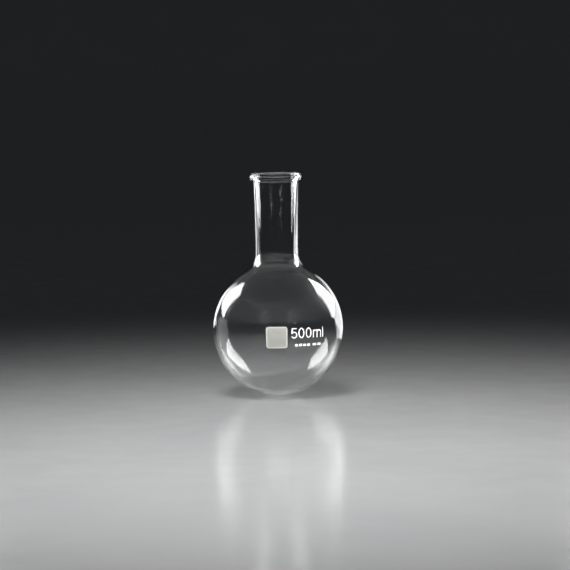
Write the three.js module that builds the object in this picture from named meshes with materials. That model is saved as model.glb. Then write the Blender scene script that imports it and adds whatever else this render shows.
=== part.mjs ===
// Round bottom boiling flask, 500 ml, narrow neck with a beaded rim, in borosilicate glass.
//
// Units are millimetres, +Z is up and the front faces -Y. The origin is the lowest point of
// the globe, on the axis of the neck. The vessel is one blown piece of glass: globe, neck and
// rim run into each other. On its front it carries fired enamel, and each patch of enamel is
// a thin piece of its own: a writing patch, the capacity in figures, and a row of plain bars.

import * as THREE from "three";
import { TessellateModifier } from "three/addons/modifiers/TessellateModifier.js";

// --- Driving dimensions -----------------------------------------------------------------

const HEIGHT = 180; // rim above the lowest point

const GLOBE_RADIUS = 52.5; // at the equator
const GLOBE_STRETCH = 1.04; // the globe is a little taller than wide
const GLOBE_HALF_HEIGHT = GLOBE_RADIUS * GLOBE_STRETCH;

const NECK_RADIUS = 17.2; // outside, at its narrowest, just above the globe
const NECK_FLARE = 0.95; // how much wider the neck is under the rim
const ROOT_FILLET = 15; // where the neck runs into the globe

const WALL = 1.9; // globe and neck
const FOOT_THICKENING = 0.6; // more glass at the very bottom of the globe

const BEAD_RADIUS = 20.7; // the widest ring of the rim
const BEAD_CORE_RADIUS = 18.9; // where the rim's flat top ends
const BEAD_TOP_HEIGHT = 3.7; // rim above its widest ring
const BEAD_UNDER_HEIGHT = 2.6; // rim below its widest ring
const LIP_ROUND = 1; // inside edge of the mouth

// How finely the vessel is divided: flats round the axis, and steps along each stretch of its outline.
const SEGMENTS = 48;
const GLOBE_STEPS = 18;
const FILLET_STEPS = 5;
const NECK_STEPS = 4;
const BEAD_STEPS = { fillet: 2, under: 4, over: 5, lip: 3 };

const ENAMEL_GAP = 0.15; // clearance between the enamel and the glass
const ENAMEL_THICKNESS = 0.25;
const ENAMEL_LONGEST_EDGE = 3; // so that the enamel follows the globe
const ENAMEL_SPLITS = 20; // most times that an edge is halved on the way there

// The writing patch; x and y are those of its middle.
const PATCH = { x: -0.9, y: -2.4, width: 16.9, height: 17.1, corner: 1.8 };

const STROKE = 0.95; // line width of the figures
const FIGURES_BASE = -3.4; // their base line, up from the equator
const FIGURE_HEIGHT = 8.2;
const FIGURE_WIDTH = 5.1;
const FIGURE_STARTS = [10.4, 16.4, 22.6]; // left edges, round the globe from its front
// The figure 5: shares of the figure's width and height, and where its bowl starts and ends.
const FIVE = { right: 0.92, stemTop: 0.13, stemFoot: 0.03, stemBase: 0.43, bowl: 0.33 };
const FIVE_BOWL_INSIDE = [0.8 * Math.PI, -0.8 * Math.PI];
const FIVE_BOWL_OUTSIDE = [-0.87 * Math.PI, 0.62 * Math.PI];
const SMALL_M = { x: 29, width: 8, height: 6.1 };
const SMALL_L = { x: 38.3, height: 8.1 };

const BAR_HEIGHT = 2;
const BARS_BASE = -9.9;
const BARS = [
  { x: 13.6, width: 2.6 },
  { x: 17.1, width: 2.6 },
  { x: 20.6, width: 2.6 },
  { x: 24.1, width: 2.6 },
  { x: 28.9, width: 3.6 },
  { x: 33.5, width: 3.6 },
];

// --- Materials --------------------------------------------------------------------------

const glass = new THREE.MeshStandardMaterial({
  color: 0xe9f1ef,
  roughness: 0.02,
  metalness: 0,
  transparent: true,
  opacity: 0.3,
});
const patchEnamel = new THREE.MeshStandardMaterial({ color: 0xb9bab3, roughness: 0.65, metalness: 0 });
const printEnamel = new THREE.MeshStandardMaterial({ color: 0xf4f4f0, roughness: 0.5, metalness: 0 });

// --- The vessel -------------------------------------------------------------------------

const quarter = Math.PI / 2;

// A point of the globe's outline and its outward direction. angle 0 is the equator, and a
// quarter turn down is the lowest point.
function globeOutline(angle) {
  const point = new THREE.Vector2(
    GLOBE_RADIUS * Math.cos(angle),
    GLOBE_HALF_HEIGHT * (1 + Math.sin(angle)),
  );
  const normal = new THREE.Vector2(
    Math.cos(angle) / GLOBE_RADIUS,
    Math.sin(angle) / GLOBE_HALF_HEIGHT,
  ).normalize();
  return { point, normal };
}

// The angle on the globe where a fillet of ROOT_FILLET touches both the globe and the neck.
function filletAngle() {
  let low = 0;
  let high = quarter;
  while (high - low > 1e-12) {
    const middle = (low + high) / 2;
    const { point, normal } = globeOutline(middle);
    const centreRadius = point.x + ROOT_FILLET * normal.x;
    if (centreRadius > NECK_RADIUS + ROOT_FILLET) low = middle;
    else high = middle;
  }
  return low;
}

const shoulderAngle = filletAngle();
const shoulder = globeOutline(shoulderAngle);
const filletCentre = shoulder.point.clone().addScaledVector(shoulder.normal, ROOT_FILLET);
const neckBase = filletCentre.y;
const beadMiddle = HEIGHT - BEAD_TOP_HEIGHT;
const beadBase = beadMiddle - BEAD_UNDER_HEIGHT;
const underFillet = BEAD_CORE_RADIUS - neckRadius(beadBase); // between the neck and the bead

// The neck's outside radius at a height: straight up from the globe, then slowly wider.
function neckRadius(height) {
  const share = Math.max(0, (height - neckBase) / (beadBase - neckBase));
  return NECK_RADIUS + NECK_FLARE * share * share;
}

// count + 1 values from start to end.
function steps(start, end, count) {
  return Array.from({ length: count + 1 }, (_, i) => start + ((end - start) * i) / count);
}

// Points of an ellipse's arc, for the rim's rounded corners.
function arc(centreRadius, centreHeight, radiusAcross, radiusUp, start, end, count) {
  return steps(start, end, count).map(
    (angle) =>
      new THREE.Vector2(
        centreRadius + radiusAcross * Math.cos(angle),
        centreHeight + radiusUp * Math.sin(angle),
      ),
  );
}

// The globe and the fillet above it, from the lowest point up to the foot of the neck, with
// the surface moved in along its normal by the wall there, times share.
function globeWall(share) {
  const wallAt = (height) => {
    const low = Math.max(0, 1 - height / GLOBE_HALF_HEIGHT);
    return share * (WALL + FOOT_THICKENING * low * low);
  };
  const globe = steps(-quarter, shoulderAngle, GLOBE_STEPS).map((angle) => {
    const { point, normal } = globeOutline(angle);
    return point.addScaledVector(normal, -wallAt(point.y));
  });
  globe[0].x = 0;
  const turn = Math.atan2(shoulder.normal.y, shoulder.normal.x) + Math.PI;
  const radius = ROOT_FILLET + share * WALL;
  const fillet = arc(filletCentre.x, filletCentre.y, radius, radius, turn, Math.PI, FILLET_STEPS);
  return [...globe, ...fillet.slice(1)];
}

// The neck from its foot up to a height, moved in by inset.
function neckWall(top, inset) {
  return steps(neckBase, top, NECK_STEPS)
    .slice(1)
    .map((height) => new THREE.Vector2(neckRadius(height) - inset, height));
}

// The rim from the neck's outside, over its flat top, to the inside of the mouth.
function rim() {
  const { fillet, under, over, lip } = BEAD_STEPS;
  const core = BEAD_CORE_RADIUS;
  const across = BEAD_RADIUS - core;
  const mouth = neckRadius(beadBase) - WALL;
  return [
    ...arc(core, beadBase - underFillet, underFillet, underFillet, Math.PI, quarter, fillet).slice(1),
    ...arc(core, beadMiddle, across, BEAD_UNDER_HEIGHT, -quarter, 0, under).slice(1),
    ...arc(core, beadMiddle, across, BEAD_TOP_HEIGHT, 0, quarter, over).slice(1),
    ...arc(mouth + LIP_ROUND, HEIGHT - LIP_ROUND, LIP_ROUND, LIP_ROUND, quarter, Math.PI, lip),
  ];
}

function vessel() {
  const outside = [...globeWall(0), ...neckWall(beadBase - underFillet, 0)];
  const inside = [...globeWall(1), ...neckWall(beadBase, WALL)].reverse();
  const profile = [...outside, ...rim(), ...inside];
  const geometry = new THREE.LatheGeometry(profile, SEGMENTS);
  geometry.rotateX(quarter); // the lathe's axis is Y
  return mesh("glass_vessel", geometry, glass);
}

// --- The enamel -------------------------------------------------------------------------

// Lays a flat piece on the globe: x runs round it from the front, y up from the equator, and
// z out of the surface.
function layOnGlobe(geometry) {
  const position = geometry.getAttribute("position");
  for (let i = 0; i < position.count; i++) {
    const longitude = position.getX(i) / GLOBE_RADIUS;
    const { point, normal } = globeOutline(position.getY(i) / GLOBE_HALF_HEIGHT);
    point.addScaledVector(normal, ENAMEL_GAP + position.getZ(i));
    position.setXYZ(i, point.x * Math.sin(longitude), -point.x * Math.cos(longitude), point.y);
  }
  return geometry;
}

// One deposit of enamel; curveSegments is for each of its curves.
function enamel(name, shape, material, curveSegments = 3) {
  const depth = ENAMEL_THICKNESS;
  const flat = new THREE.ExtrudeGeometry(shape, { depth, bevelEnabled: false, curveSegments });
  const fine = new TessellateModifier(ENAMEL_LONGEST_EDGE, ENAMEL_SPLITS).modify(flat);
  return mesh(name, layOnGlobe(fine), material);
}

function roundedRectangle(x, y, width, height, corner) {
  const shape = new THREE.Shape();
  shape.moveTo(x + corner, y);
  shape.lineTo(x + width - corner, y);
  shape.absarc(x + width - corner, y + corner, corner, -quarter, 0);
  shape.lineTo(x + width, y + height - corner);
  shape.absarc(x + width - corner, y + height - corner, corner, 0, quarter);
  shape.lineTo(x + corner, y + height);
  shape.absarc(x + corner, y + height - corner, corner, quarter, 2 * quarter);
  shape.lineTo(x, y + corner);
  shape.absarc(x + corner, y + corner, corner, 2 * quarter, 3 * quarter);
  return shape;
}

function figureZero(x) {
  const middle = [x + FIGURE_WIDTH / 2, FIGURES_BASE + FIGURE_HEIGHT / 2];
  const ring = (inset) => [FIGURE_WIDTH / 2 - inset, FIGURE_HEIGHT / 2 - inset];
  const shape = new THREE.Shape();
  shape.absellipse(...middle, ...ring(0), 0, 4 * quarter);
  const hole = new THREE.Path();
  hole.absellipse(...middle, ...ring(STROKE), 0, 4 * quarter);
  shape.holes.push(hole);
  return shape;
}

// A flat top over a leaning stem, which runs into an open bowl.
function figureFive(x) {
  const top = FIGURES_BASE + FIGURE_HEIGHT;
  const right = x + FIVE.right * FIGURE_WIDTH;
  const stem = { top: x + FIVE.stemTop * FIGURE_WIDTH, foot: x + FIVE.stemFoot * FIGURE_WIDTH };
  const across = FIGURE_WIDTH / 2;
  const up = FIVE.bowl * FIGURE_HEIGHT;
  const bowl = [x + across, FIGURES_BASE + up];
  const shape = new THREE.Shape();
  shape.moveTo(right, top);
  shape.lineTo(stem.top, top);
  shape.lineTo(stem.foot, FIGURES_BASE + FIVE.stemBase * FIGURE_HEIGHT);
  shape.absellipse(...bowl, across - STROKE, up - STROKE, ...FIVE_BOWL_INSIDE, true);
  shape.absellipse(...bowl, across, up, ...FIVE_BOWL_OUTSIDE);
  shape.lineTo(stem.top + STROKE, top - STROKE);
  shape.lineTo(right, top - STROKE);
  return shape;
}

// Three legs under one flat top, with a round arch between each two.
function letterM() {
  const { x, width, height } = SMALL_M;
  const arch = (width - 3 * STROKE) / 4;
  const springing = FIGURES_BASE + height - STROKE - arch;
  const shoulderRound = arch + STROKE / 2;
  const shape = new THREE.Shape();
  shape.moveTo(x, FIGURES_BASE);
  shape.lineTo(x + STROKE, FIGURES_BASE);
  for (const leg of [1, 2]) {
    const left = x + leg * STROKE + (leg - 1) * 2 * arch;
    shape.lineTo(left, springing);
    shape.absarc(left + arch, springing, arch, Math.PI, 0, true);
    shape.lineTo(left + 2 * arch, FIGURES_BASE);
    shape.lineTo(left + 2 * arch + STROKE, FIGURES_BASE);
  }
  const top = FIGURES_BASE + height;
  shape.lineTo(x + width, top - shoulderRound);
  shape.absarc(x + width - shoulderRound, top - shoulderRound, shoulderRound, 0, quarter);
  shape.lineTo(x, top);
  return shape;
}

function letterL() {
  return roundedRectangle(SMALL_L.x, FIGURES_BASE, STROKE, SMALL_L.height, STROKE / 8);
}

function bar({ x, width }) {
  return roundedRectangle(x, BARS_BASE, width, BAR_HEIGHT, BAR_HEIGHT / 4);
}

function writingPatch() {
  const { x, y, width, height, corner } = PATCH;
  return roundedRectangle(x - width / 2, y - height / 2, width, height, corner);
}

// --- The assembly -----------------------------------------------------------------------

function mesh(name, geometry, material) {
  const made = new THREE.Mesh(geometry, material);
  made.name = name;
  return made;
}

const flask = new THREE.Group();
flask.add(vessel());
flask.add(enamel("writing_patch", writingPatch(), patchEnamel));
flask.add(enamel("capacity_figure_1", figureFive(FIGURE_STARTS[0]), printEnamel, 8));
flask.add(enamel("capacity_figure_2", figureZero(FIGURE_STARTS[1]), printEnamel, 14));
flask.add(enamel("capacity_figure_3", figureZero(FIGURE_STARTS[2]), printEnamel, 14));
flask.add(enamel("capacity_unit_m", letterM(), printEnamel, 6));
flask.add(enamel("capacity_unit_l", letterL(), printEnamel));
BARS.forEach((each, i) => flask.add(enamel(`enamel_bar_${i + 1}`, bar(each), printEnamel)));

export default flask;
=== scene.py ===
"""Looks of the round bottom flask: blown glass, fired enamel, floor, lamps and camera.

Every length is in metres, in the frame of the CAD model: +Z up the neck, the enamel facing -Y,
and the lowest point of the globe at the origin.
"""

import math

import bmesh
import bpy
from mathutils import Matrix, Vector, noise


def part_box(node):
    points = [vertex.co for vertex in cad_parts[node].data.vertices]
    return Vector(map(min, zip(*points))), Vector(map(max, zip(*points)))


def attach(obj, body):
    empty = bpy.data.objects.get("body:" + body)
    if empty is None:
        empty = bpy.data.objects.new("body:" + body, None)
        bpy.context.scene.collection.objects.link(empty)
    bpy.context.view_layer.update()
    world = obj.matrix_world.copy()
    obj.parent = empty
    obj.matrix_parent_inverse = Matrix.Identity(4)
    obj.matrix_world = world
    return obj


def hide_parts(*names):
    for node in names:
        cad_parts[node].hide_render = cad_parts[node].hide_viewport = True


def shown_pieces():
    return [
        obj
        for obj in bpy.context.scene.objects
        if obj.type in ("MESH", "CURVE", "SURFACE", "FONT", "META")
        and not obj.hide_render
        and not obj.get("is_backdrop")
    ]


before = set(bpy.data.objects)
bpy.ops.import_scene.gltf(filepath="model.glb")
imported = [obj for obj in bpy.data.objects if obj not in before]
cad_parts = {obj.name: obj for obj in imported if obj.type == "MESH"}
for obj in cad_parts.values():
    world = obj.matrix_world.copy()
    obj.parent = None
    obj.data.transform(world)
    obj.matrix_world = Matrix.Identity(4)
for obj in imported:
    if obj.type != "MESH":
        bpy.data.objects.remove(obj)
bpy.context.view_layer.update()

# --- Sizes --------------------------------------------------------------------------------

MM = 0.001
QUARTER = math.pi / 2

VESSEL_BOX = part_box("glass_vessel")
HEIGHT = VESSEL_BOX[1].z
GLOBE_RADIUS = VESSEL_BOX[1].x
GLOBE_STRETCH = 1.04
GLOBE_HALF_HEIGHT = GLOBE_RADIUS * GLOBE_STRETCH

NECK_RADIUS = 17.2 * MM
NECK_FLARE = 0.95 * MM
ROOT_FILLET = 15 * MM
WALL = 1.9 * MM
FOOT_THICKENING = 0.6 * MM

BEAD_RADIUS = 20.7 * MM
BEAD_CORE_RADIUS = 18.9 * MM
BEAD_TOP_HEIGHT = 3.7 * MM
BEAD_UNDER_HEIGHT = 2.6 * MM
LIP_ROUND = 1.0 * MM

# Steps along each stretch of the outline, and round the axis.
GLOBE_STEPS = 110
FILLET_STEPS = 26
NECK_STEPS = 36
BEAD_STEPS = {"fillet": 6, "under": 16, "over": 18, "lip": 10}
SEGMENTS = 240
HALVINGS = 60  # in the search for the root fillet's start

# Blown and drawn glass is never quite even: how far each face wanders, and over what length.
OUTSIDE_WANDER = 0.035 * MM
OUTSIDE_WAVE = 34 * MM
WALL_WANDER = 0.16 * MM
WALL_WAVE = 27 * MM
NECK_FACETS = 0.02 * MM
NECK_FADE = 12 * MM  # over this height the neck's own unevenness sets in
RIM_FADE = 3 * MM  # the outside is even this near the rim's top
WALL_RIM_FADE = 14 * MM  # and the wall's thickness this near it

# --- The vessel's outline -------------------------------------------------------------------


def steps(start, end, count):
    return [start + (end - start) * i / count for i in range(count + 1)]


def globe_outline(angle):
    """A point (radius, height) of the globe and its outward direction. Angle 0 is the equator."""
    point = Vector((GLOBE_RADIUS * math.cos(angle), GLOBE_HALF_HEIGHT * (1 + math.sin(angle))))
    across = math.cos(angle) / GLOBE_RADIUS
    up = math.sin(angle) / GLOBE_HALF_HEIGHT
    return point, Vector((across, up)).normalized()


def shoulder_angle():
    """The angle on the globe where the root fillet touches both the globe and the neck."""
    low, high = 0.0, QUARTER
    for _ in range(HALVINGS):
        middle = (low + high) / 2
        point, normal = globe_outline(middle)
        if point.x + ROOT_FILLET * normal.x > NECK_RADIUS + ROOT_FILLET:
            low = middle
        else:
            high = middle
    return low


SHOULDER_ANGLE = shoulder_angle()
SHOULDER, SHOULDER_NORMAL = globe_outline(SHOULDER_ANGLE)
FILLET_CENTRE = SHOULDER + SHOULDER_NORMAL * ROOT_FILLET
NECK_BASE = FILLET_CENTRE.y
BEAD_MIDDLE = HEIGHT - BEAD_TOP_HEIGHT
BEAD_BASE = BEAD_MIDDLE - BEAD_UNDER_HEIGHT


def neck_radius(height):
    share = max(0.0, (height - NECK_BASE) / (BEAD_BASE - NECK_BASE))
    return NECK_RADIUS + NECK_FLARE * share * share


UNDER_FILLET = BEAD_CORE_RADIUS - neck_radius(BEAD_BASE)


def arc(centre, across, up, start, end, count):
    return [
        Vector((centre[0] + across * math.cos(a), centre[1] + up * math.sin(a)))
        for a in steps(start, end, count)
    ]


def globe_wall(share):
    """Globe and root fillet from the lowest point up, moved in by the wall times share."""
    points = []
    for angle in steps(-QUARTER, SHOULDER_ANGLE, GLOBE_STEPS):
        point, normal = globe_outline(angle)
        low = max(0.0, 1 - point.y / GLOBE_HALF_HEIGHT)
        points.append(point - normal * share * (WALL + FOOT_THICKENING * low * low))
    points[0].x = 0
    turn = math.atan2(SHOULDER_NORMAL.y, SHOULDER_NORMAL.x) + math.pi
    radius = ROOT_FILLET + share * WALL
    return points + arc(FILLET_CENTRE, radius, radius, turn, math.pi, FILLET_STEPS)[1:]


def neck_wall(top, inset):
    return [Vector((neck_radius(z) - inset, z)) for z in steps(NECK_BASE, top, NECK_STEPS)[1:]]


def rim():
    """The beaded rim from the top of the neck's outside, over the mouth, to its inside."""
    across = BEAD_RADIUS - BEAD_CORE_RADIUS
    core = BEAD_CORE_RADIUS
    fillet = (core, BEAD_BASE - UNDER_FILLET)
    bead = (core, BEAD_MIDDLE)
    lip = (neck_radius(BEAD_BASE) - WALL + LIP_ROUND, HEIGHT - LIP_ROUND)
    return [
        *arc(fillet, UNDER_FILLET, UNDER_FILLET, math.pi, QUARTER, BEAD_STEPS["fillet"])[1:],
        *arc(bead, across, BEAD_UNDER_HEIGHT, -QUARTER, 0, BEAD_STEPS["under"])[1:],
        *arc(bead, across, BEAD_TOP_HEIGHT, 0, QUARTER, BEAD_STEPS["over"])[1:],
        *arc(lip, LIP_ROUND, LIP_ROUND, QUARTER, math.pi, BEAD_STEPS["lip"]),
    ]


# --- Unevenness -----------------------------------------------------------------------------


def wave(point, length, seed):
    return noise.noise(point / length + Vector((seed, 1.7 * seed, -seed)))


def outside_wander(point):
    """How far the outer face stands off its ideal outline at a point of it."""
    around = math.atan2(point.y, point.x)
    drawn = math.sin(3 * around + 0.7) + 0.6 * math.sin(7 * around + 2.1)
    on_neck = min(1.0, max(0.0, (point.z - NECK_BASE) / NECK_FADE))
    off_rim = min(1.0, max(0.0, (HEIGHT - point.z) / RIM_FADE))
    wander = OUTSIDE_WANDER * wave(point, OUTSIDE_WAVE, 3.1) + NECK_FACETS * drawn * on_neck
    return wander * off_rim


def wall_wander(point):
    """How much thicker the wall is than its ideal at a point of the inner face."""
    off_rim = min(1.0, max(0.0, (HEIGHT - point.z) / WALL_RIM_FADE))
    slow = wave(point, WALL_WAVE, 8.3) + 0.35 * wave(point, WALL_WAVE / 2.6, 5.9)
    return WALL_WANDER * slow * off_rim


# --- Meshes ---------------------------------------------------------------------------------


def new_object(name, bm, material):
    mesh = bpy.data.meshes.new(name)
    bm.normal_update()
    bm.to_mesh(mesh)
    bm.free()
    for polygon in mesh.polygons:
        polygon.use_smooth = True
    mesh.materials.append(material)
    piece = bpy.data.objects.new(name, mesh)
    bpy.context.scene.collection.objects.link(piece)
    return piece


def turned(profile, shift):
    """A closed body turned round Z. shift(i, point) moves a point along its radius or height."""
    bm = bmesh.new()
    rings = []
    for i, (radius, height) in enumerate(profile):
        if radius < 1e-9:
            rings.append([bm.verts.new(shift(i, Vector((0, 0, height))))])
            continue
        ring = []
        for k in range(SEGMENTS):
            turn = 2 * math.pi * k / SEGMENTS
            point = Vector((radius * math.cos(turn), radius * math.sin(turn), height))
            ring.append(bm.verts.new(shift(i, point)))
        rings.append(ring)
    for one, two in zip(rings, rings[1:]):
        for k in range(SEGMENTS):
            after = (k + 1) % SEGMENTS
            if len(one) == 1:
                bm.faces.new((one[0], two[after], two[k]))
            elif len(two) == 1:
                bm.faces.new((one[k], one[after], two[0]))
            else:
                bm.faces.new((one[k], one[after], two[after], two[k]))
    return bm


def vessel_mesh():
    """The flask as one closed body, each face moved along its normal by its unevenness."""
    outside = globe_wall(0) + neck_wall(BEAD_BASE - UNDER_FILLET, 0)
    inside = (globe_wall(1) + neck_wall(BEAD_BASE, WALL))[::-1]
    middle = rim()
    profile = outside + middle + inside
    normals = []
    for i, here in enumerate(profile):
        before, after = profile[max(i - 1, 0)], profile[min(i + 1, len(profile) - 1)]
        along = (after - before).normalized()
        normals.append(Vector((along.y, -along.x)))
    normals[0], normals[-1] = Vector((0, -1)), Vector((0, 1))
    first_inside = len(outside) + len(middle)

    def shift(i, point):
        normal = normals[i]
        flat = Vector((point.x, point.y, 0))
        out = flat.normalized() if flat.length > 0 else Vector((0, 0, 0))
        direction = out * normal.x + Vector((0, 0, normal.y))
        amount = outside_wander(point)
        if i >= first_inside:
            amount = wall_wander(point) - amount
        return point + direction * amount

    return turned(profile, shift)


# --- Materials ------------------------------------------------------------------------------


class Nodes:
    """A small helper that adds nodes to a material and links them."""

    def __init__(self, name):
        self.material = bpy.data.materials.new(name)
        self.material.use_nodes = True
        self.tree = self.material.node_tree
        self.shader = self.tree.nodes["Principled BSDF"]
        self.place = self.tree.nodes.new("ShaderNodeTexCoord").outputs["Object"]

    def add(self, kind, **values):
        node = self.tree.nodes.new(kind)
        for key, value in values.items():
            setattr(node, key, value)
        return node

    def link(self, source, target):
        self.tree.links.new(source, target)

    def stretched(self, scale):
        node = self.add("ShaderNodeMapping")
        node.inputs["Scale"].default_value = scale
        self.link(self.place, node.inputs["Vector"])
        return node.outputs["Vector"]

    def noise(self, scale, detail=2.0, stretch=(1, 1, 1), rough=0.5):
        node = self.add("ShaderNodeTexNoise")
        node.inputs["Scale"].default_value = scale
        node.inputs["Detail"].default_value = detail
        node.inputs["Roughness"].default_value = rough
        self.link(self.stretched(stretch), node.inputs["Vector"])
        return node.outputs["Fac"]

    def ramp(self, source, stops):
        node = self.add("ShaderNodeValToRGB")
        elements = node.color_ramp.elements
        while len(elements) < len(stops):
            elements.new(0.5)
        for element, (position, colour) in zip(elements, stops):
            element.position = position
            element.color = (*colour, 1) if len(colour) == 3 else colour
        self.link(source, node.inputs["Fac"])
        return node.outputs["Color"]

    def span(self, source, low, high, to_low, to_high):
        node = self.add("ShaderNodeMapRange")
        for key, value in zip(("From Min", "From Max", "To Min", "To Max"), (low, high, to_low, to_high)):
            node.inputs[key].default_value = value
        self.link(source, node.inputs["Value"])
        return node.outputs["Result"]

    def bump(self, source, distance, strength=1.0, after=None):
        node = self.add("ShaderNodeBump")
        node.inputs["Strength"].default_value = strength
        node.inputs["Distance"].default_value = distance
        self.link(source, node.inputs["Height"])
        if after is not None:
            self.link(after, node.inputs["Normal"])
        return node.outputs["Normal"]

    def math(self, operation, *values):
        node = self.add("ShaderNodeMath")
        node.operation = operation
        for socket, value in zip(node.inputs, values):
            if isinstance(value, (int, float)):
                socket.default_value = value
            else:
                self.link(value, socket)
        return node.outputs["Value"]

    def axis(self, letter):
        node = self.add("ShaderNodeSeparateXYZ")
        self.link(self.place, node.inputs["Vector"])
        return node.outputs[letter]

    def mix(self, share, one, other):
        node = self.add("ShaderNodeMixRGB")
        self.link(share, node.inputs["Fac"])
        self.link(one, node.inputs["Color1"])
        node.inputs["Color2"].default_value = other
        return node.outputs["Color"]

    def set(self, **values):
        for key, value in values.items():
            self.shader.inputs[key.replace("_", " ")].default_value = value

    def drive(self, socket, source):
        self.link(source, self.shader.inputs[socket])


def glass_material():
    """Clear borosilicate: faint vertical cords from drawing, and a trace of handling."""
    n = Nodes("borosilicate_glass")
    n.set(Transmission_Weight=1.0, IOR=1.473)
    tint = n.ramp(n.noise(30, 2), [(0.3, (0.965, 0.982, 0.978)), (0.7, (0.985, 0.993, 0.99))])
    n.drive("Base Color", tint)
    smears = n.noise(45, 4, (1, 1, 0.5), 0.6)
    n.drive("Roughness", n.span(smears, 0.45, 0.8, 0.0, 0.035))
    cords = n.bump(n.noise(160, 1, (1, 1, 0.06)), 0.000004)
    n.drive("Normal", n.bump(n.noise(55, 1, (1, 1, 0.7)), 0.000012, after=cords))
    return n.material


# --- Pieces ---------------------------------------------------------------------------------

vessel = new_object("blown_glass_vessel", vessel_mesh(), glass_material())
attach(vessel, "root")
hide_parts("glass_vessel")

# --- Enamel ---------------------------------------------------------------------------------

ENAMEL_OFF = 0.008 * MM
ENAMEL_THICK = 0.09 * MM
# The deposit's edge from outside in: how far each step goes in, and how much it rises.
ENAMEL_EDGE = (
    (0.05 * MM, 0.8 * ENAMEL_THICK),
    (0.09 * MM, 0.35 * ENAMEL_THICK),
    (0.12 * MM, -0.3 * ENAMEL_THICK),
)
ENAMEL_CELL = 1.2 * MM
PATCH_CELL = 0.9 * MM


def lay_on_globe(x, y, lift):
    """A point of the enamel: x round the globe from its front, y up from the equator."""
    longitude = x / GLOBE_RADIUS
    point, normal = globe_outline(y / GLOBE_HALF_HEIGHT)
    out = Vector((math.sin(longitude), -math.cos(longitude), 0))
    place = out * point.x + Vector((0, 0, point.y))
    direction = out * normal.x + Vector((0, 0, normal.y))
    return place + direction * (outside_wander(place) + lift)


# Places and sizes of the marks, x round the globe from its front and y up from its equator.
PATCH = (-0.9 * MM, -2.4 * MM, 16.9 * MM, 17.1 * MM, 1.8 * MM)  # middle, width, height, corner
STROKE = 0.95 * MM
FIGURES_BASE = -3.4 * MM
FIGURE_HEIGHT = 8.2 * MM
FIGURE_WIDTH = 5.1 * MM
FIGURE_STARTS = (10.4 * MM, 16.4 * MM, 22.6 * MM)
# The figure 5: shares of the figure's width and height, and where its bowl starts and ends.
FIVE = {"right": 0.92, "stem_top": 0.13, "stem_foot": 0.03, "stem_base": 0.43, "bowl": 0.33}
FIVE_BOWL_INSIDE = (0.8 * math.pi, -0.8 * math.pi)
FIVE_BOWL_OUTSIDE = (-0.87 * math.pi, 0.62 * math.pi)
SMALL_M = (29 * MM, 8 * MM, 6.1 * MM)  # left, width, height
SMALL_L = (38.3 * MM, 8.1 * MM)  # left, height
BAR_HEIGHT = 2 * MM
BARS_BASE = -9.9 * MM
SHORT_BAR = 2.6 * MM
LONG_BAR = 3.6 * MM
BARS = [(x * MM, SHORT_BAR) for x in (13.6, 17.1, 20.6, 24.1)]
BARS += [(x * MM, LONG_BAR) for x in (28.9, 33.5)]
CORNER_STEPS = 8
TOUCHING = 1e-7  # points nearer than this are one


def oval(centre, across, up, start, end, count):
    return [(p.x, p.y) for p in arc(centre, across, up, start, end, count)]


def rounded_rectangle(x, y, width, height, corner):
    left, right = x + corner, x + width - corner
    low, high = y + corner, y + height - corner
    outline = []
    for cx, cy, quarter in ((right, low, -1), (right, high, 0), (left, high, 1), (left, low, 2)):
        start, end = quarter * QUARTER, (quarter + 1) * QUARTER
        outline += oval((cx, cy), corner, corner, start, end, CORNER_STEPS)
    return [outline]


def figure_zero(x):
    middle = (x + FIGURE_WIDTH / 2, FIGURES_BASE + FIGURE_HEIGHT / 2)
    across, up = FIGURE_WIDTH / 2, FIGURE_HEIGHT / 2
    outer = oval(middle, across, up, 0, 4 * QUARTER, 56)[:-1]
    inner = oval(middle, across - STROKE, up - STROKE, 0, 4 * QUARTER, 44)[:-1]
    return [outer, inner]


def figure_five(x):
    top = FIGURES_BASE + FIGURE_HEIGHT
    right = x + FIVE["right"] * FIGURE_WIDTH
    stem_top = x + FIVE["stem_top"] * FIGURE_WIDTH
    stem_foot = x + FIVE["stem_foot"] * FIGURE_WIDTH
    across, up = FIGURE_WIDTH / 2, FIGURE_HEIGHT * FIVE["bowl"]
    bowl = (x + across, FIGURES_BASE + up)
    return [[
        (right, top),
        (stem_top, top),
        (stem_foot, FIGURES_BASE + FIVE["stem_base"] * FIGURE_HEIGHT),
        *oval(bowl, across - STROKE, up - STROKE, *FIVE_BOWL_INSIDE, 30),
        *oval(bowl, across, up, *FIVE_BOWL_OUTSIDE, 36),
        (stem_top + STROKE, top - STROKE),
        (right, top - STROKE),
    ]]


def letter_m():
    x, width, height = SMALL_M
    arch = (width - 3 * STROKE) / 4
    springing = FIGURES_BASE + height - STROKE - arch
    round_off = arch + STROKE / 2
    outline = [(x, FIGURES_BASE), (x + STROKE, FIGURES_BASE)]
    for leg in (1, 2):
        left = x + leg * STROKE + (leg - 1) * 2 * arch
        outline += oval((left + arch, springing), arch, arch, math.pi, 0, 14)
        outline += [(left + 2 * arch, FIGURES_BASE), (left + 2 * arch + STROKE, FIGURES_BASE)]
    top = FIGURES_BASE + height
    outline += oval((x + width - round_off, top - round_off), round_off, round_off, 0, QUARTER, 10)
    outline += [(x, top)]
    return [outline]


def letter_l():
    x, height = SMALL_L
    return rounded_rectangle(x, FIGURES_BASE, STROKE, height, STROKE / 3)


def bar(x, width):
    return rounded_rectangle(x, BARS_BASE, width, BAR_HEIGHT, BAR_HEIGHT / 4)


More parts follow.
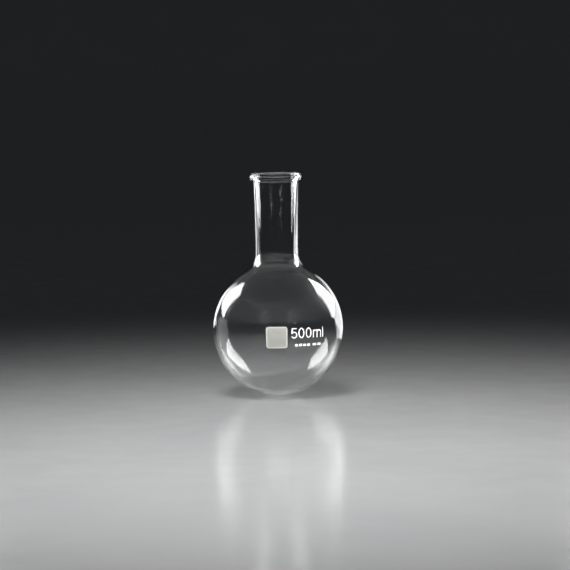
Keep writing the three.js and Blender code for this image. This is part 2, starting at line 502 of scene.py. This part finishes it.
def enamel_mesh(outlines, cell):
    """A thin deposit with a raised, rounded edge, laid on the glass and closed underneath."""
    bm = bmesh.new()
    edges = []
    for outline in outlines:
        verts = [bm.verts.new((x, y, 0)) for x, y in outline]
        edges += [bm.edges.new(pair) for pair in zip(verts, verts[1:] + verts[:1])]
    bmesh.ops.triangle_fill(bm, use_beauty=True, use_dissolve=False, edges=edges)
    bmesh.ops.recalc_face_normals(bm, faces=bm.faces)
    if bm.faces[0].normal.z < 0:
        bmesh.ops.reverse_faces(bm, faces=bm.faces)
    under = bmesh.ops.duplicate(bm, geom=bm.verts[:] + bm.edges[:] + bm.faces[:])
    under_faces = [f for f in under["geom"] if isinstance(f, bmesh.types.BMFace)]
    upper_faces = [f for f in bm.faces if f not in set(under_faces)]
    bmesh.ops.reverse_faces(bm, faces=under_faces)
    for inwards, rise in ENAMEL_EDGE:
        bmesh.ops.inset_region(bm, faces=upper_faces, thickness=inwards, depth=rise,
                               use_boundary=True, use_even_offset=True)
    bmesh.ops.remove_doubles(bm, verts=bm.verts, dist=TOUCHING)
    xs = [v.co.x for v in bm.verts]
    ys = [v.co.y for v in bm.verts]
    for axis, values in ((0, xs), (1, ys)):
        low, high = min(values), max(values)
        count = max(1, round((high - low) / cell))
        for cut in steps(low, high, count)[1:-1]:
            place, direction = Vector((0, 0, 0)), Vector((0, 0, 0))
            place[axis], direction[axis] = cut, 1
            bmesh.ops.bisect_plane(bm, geom=bm.verts[:] + bm.edges[:] + bm.faces[:], dist=TOUCHING,
                                   plane_co=place, plane_no=direction)
    for vert in bm.verts:
        vert.co = lay_on_globe(vert.co.x, vert.co.y, ENAMEL_OFF + vert.co.z)
    return bm


def enamel_material(name, light, dark, edge=None):
    """Fired enamel: mottled colour, a fine grain, and a lighter band round its edge if one is given."""
    n = Nodes(name)
    grain = n.noise(2600, 3)
    mottle = n.noise(260, 3, rough=0.6)
    colour = n.ramp(mottle, [(0.3, dark), (0.7, light)])
    if edge is not None:
        colour = n.mix(patch_edge_share(n), colour, edge)
    n.drive("Base Color", colour)
    n.set(Transmission_Weight=0.3, IOR=1.5, Specular_IOR_Level=0.4)
    n.drive("Roughness", n.span(grain, 0.3, 0.7, 0.55, 0.8))
    n.drive("Normal", n.bump(grain, 0.00002, 0.5))
    return n.material


def patch_edge_share(n):
    """0 in the middle of the writing patch, 1 in the thicker band that runs round its edge."""
    x, y, width, height, _ = PATCH
    middle = (x, GLOBE_HALF_HEIGHT + y)
    shares = []
    for axis, centre, size in (("X", middle[0], width), ("Z", middle[1], height)):
        offset = n.math("ABSOLUTE", n.math("SUBTRACT", n.axis(axis), centre))
        shares.append(n.math("DIVIDE", offset, size / 2))
    farthest = n.math("SMOOTH_MAX", shares[0], shares[1], 0.12)
    waver = n.math("MULTIPLY", n.noise(700, 2), 0.06)
    return n.span(n.math("ADD", farthest, waver), 0.86, 0.93, 0.0, 1.0)


patch_enamel = enamel_material("patch_enamel", light=(0.34, 0.345, 0.32), dark=(0.3, 0.305, 0.28),
                               edge=(0.5, 0.505, 0.48, 1))
print_enamel = enamel_material("print_enamel", light=(0.93, 0.93, 0.91), dark=(0.88, 0.88, 0.86))


def enamel(name, node, outlines, material, cell=ENAMEL_CELL):
    piece = new_object(name, enamel_mesh(outlines, cell), material)
    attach(piece, "root")
    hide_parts(node)


patch_x, patch_y, patch_width, patch_height, patch_corner = PATCH
enamel("fired_writing_patch", "writing_patch",
       rounded_rectangle(patch_x - patch_width / 2, patch_y - patch_height / 2,
                         patch_width, patch_height, patch_corner),
       patch_enamel, PATCH_CELL)
figures = (figure_five, figure_zero, figure_zero)
for number, (figure, start) in enumerate(zip(figures, FIGURE_STARTS), 1):
    enamel(f"fired_figure_{number}", f"capacity_figure_{number}", figure(start), print_enamel)
enamel("fired_unit_m", "capacity_unit_m", letter_m(), print_enamel)
enamel("fired_unit_l", "capacity_unit_l", letter_l(), print_enamel)
for number, (bar_x, bar_width) in enumerate(BARS, 1):
    enamel(f"fired_bar_{number}", f"enamel_bar_{number}", bar(bar_x, bar_width),
           print_enamel)

# --- Floor ----------------------------------------------------------------------------------

FLOOR_RADIUS = 3.2
COVE_ROUND = 1.4
COVE_TOP = 3.4


def floor_material():
    """Pale satin acrylic sheet."""
    n = Nodes("pale_floor")
    n.drive("Base Color", n.ramp(n.noise(9, 5), [(0.3, (0.6, 0.605, 0.61)), (0.7, (0.64, 0.64, 0.64))]))
    n.set(IOR=1.49)
    n.drive("Roughness", n.span(n.noise(40, 3), 0.3, 0.7, 0.16, 0.2))
    return n.material


def cove_mesh():
    """A round floor that sweeps up into a wall, so that no horizon shows."""
    profile = [Vector((r, 0)) for r in steps(0, FLOOR_RADIUS, 12)]
    profile += arc((FLOOR_RADIUS, COVE_ROUND), COVE_ROUND, COVE_ROUND, -QUARTER, 0, 24)[1:]
    profile.append(Vector((FLOOR_RADIUS + COVE_ROUND, COVE_TOP)))
    bm = turned(profile, lambda i, point: point)
    bmesh.ops.reverse_faces(bm, faces=bm.faces)
    return bm


floor = new_object("floor", cove_mesh(), floor_material())
floor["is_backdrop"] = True

# --- Lamps ----------------------------------------------------------------------------------


def area_lamp(name, place, width, height, energy, spread=180):
    """A rectangular lamp that shines along its own -Z, out of the camera's sight."""
    data = bpy.data.lights.new(name, "AREA")
    data.shape = "RECTANGLE"
    data.size, data.size_y = width, height
    data.energy = energy
    data.spread = math.radians(spread)
    lamp = bpy.data.objects.new(name, data)
    lamp.matrix_world = place
    lamp.visible_camera = False
    bpy.context.scene.collection.objects.link(lamp)
    return lamp


def softbox(name, bearing, distance, height, width, tall, radiance, turn=0, tip=0, roll=0):
    """A softbox seen only in the glass and in the floor's gloss. Its bearing from the flask runs
    from straight behind (0) to the right (90); turn, tip and roll swing it out of facing the axis."""
    facing = Matrix.Rotation(math.radians(-bearing - turn), 4, "Z")
    leaning = Matrix.Rotation(math.radians(tip) - QUARTER, 4, "X")
    bearing = math.radians(bearing)
    centre = Vector((math.sin(bearing) * distance, math.cos(bearing) * distance, height))
    spin = Matrix.Rotation(math.radians(-roll), 4, "Z")
    lamp = area_lamp(name, Matrix.Translation(centre) @ facing @ leaning @ spin,
                     width, tall, radiance * width * tall * math.pi)
    lamp.visible_diffuse = False
    return lamp


def fill(name, place, aim, size, energy, spread, shadow):
    """A soft lamp for the floor and the enamel, kept out of the reflections in the glass."""
    place = Vector(place)
    turn = (Vector(aim) - place).to_track_quat("-Z", "Y").to_matrix().to_4x4()
    lamp = area_lamp(name, Matrix.Translation(place) @ turn, size, size, energy, spread)
    lamp.data.use_shadow = shadow
    lamp.visible_glossy = False
    lamp.visible_transmission = False
    return lamp


def light_only(name, lamps, pieces):
    """Light linking: the lamps reach these pieces and nothing else."""
    group = bpy.data.collections.new(name)
    for piece in pieces:
        group.objects.link(piece)
    for lamp in lamps:
        lamp.light_linking.receiver_collection = group


softbox("left_softbox", bearing=-62, distance=0.4, height=0.28, width=0.2, tall=0.3,
        radiance=8, turn=0, tip=7, roll=17)
softbox("right_softbox", bearing=57, distance=0.5, height=0.32, width=0.25, tall=0.38,
        radiance=8, turn=-18, tip=6, roll=-11)

# The edge lights only reach the flask, so that they make no patch on the floor.
left_edge_light = softbox("left_edge_light", bearing=-32, distance=0.6, height=0.18, width=0.09,
                          tall=0.45, radiance=1.9, turn=-4, tip=21, roll=29)
right_edge_light = softbox("right_edge_light", bearing=35, distance=0.29, height=0.05, width=0.26,
                           tall=0.15, radiance=1.1, turn=20, tip=5, roll=-26)
light_only("lit_by_edge_lights", (left_edge_light, right_edge_light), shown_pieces())

front_fill = fill("front_fill", place=(0.1, -1.5, 0.4), aim=(0, 0, 0.05), size=0.6,
                  energy=1.9, spread=45, shadow=False)
light_only("lit_by_front_fill", (front_fill,), [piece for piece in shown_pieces() if piece != vessel])

# Of the floor's two lamps only one casts a shadow, which keeps the shadow under the flask soft.
fill("floor_soft", place=(-0.2, -0.75, 1.3), aim=(-0.02, -0.3, 0), size=0.5,
     energy=1.3, spread=50, shadow=True)
fill("floor_fill", place=(0.2, -0.75, 1.3), aim=(0.02, -0.3, 0), size=0.5,
     energy=1.3, spread=50, shadow=False)

STUDIO_DARK = (0.03, 0.031, 0.034, 1)

world = bpy.data.worlds.new("studio")
world.use_nodes = True
world.node_tree.nodes["Background"].inputs["Color"].default_value = STUDIO_DARK
bpy.context.scene.world = world

# --- Camera ---------------------------------------------------------------------------------

CAMERA_DISTANCE = 1.75
DOWN_ON_RIM = math.radians(1.5)  # how steeply the camera looks down on the rim
CAMERA_HEIGHT = HEIGHT + CAMERA_DISTANCE * math.tan(DOWN_ON_RIM)
AIM = Vector((6.2 * MM, 0, 89.4 * MM))
ROLL = math.radians(0.9)  # the top leans to the left
LENS = 137.5

camera_data = bpy.data.cameras.new("camera")
camera_data.lens = LENS
camera_data.sensor_width = 36
camera = bpy.data.objects.new("camera", camera_data)
camera.location = (AIM.x, -CAMERA_DISTANCE, CAMERA_HEIGHT)
towards = (AIM - camera.location).to_track_quat("-Z", "Y")
camera.rotation_euler = (towards.to_matrix() @ Matrix.Rotation(-ROLL, 3, "Z")).to_euler()
bpy.context.scene.collection.objects.link(camera)
bpy.context.scene.camera = camera

scene = bpy.context.scene
scene.view_settings.view_transform = "Standard"
scene.cycles.max_bounces = 24
scene.cycles.transmission_bounces = 20
scene.cycles.glossy_bounces = 12
scene.cycles.use_denoising = True
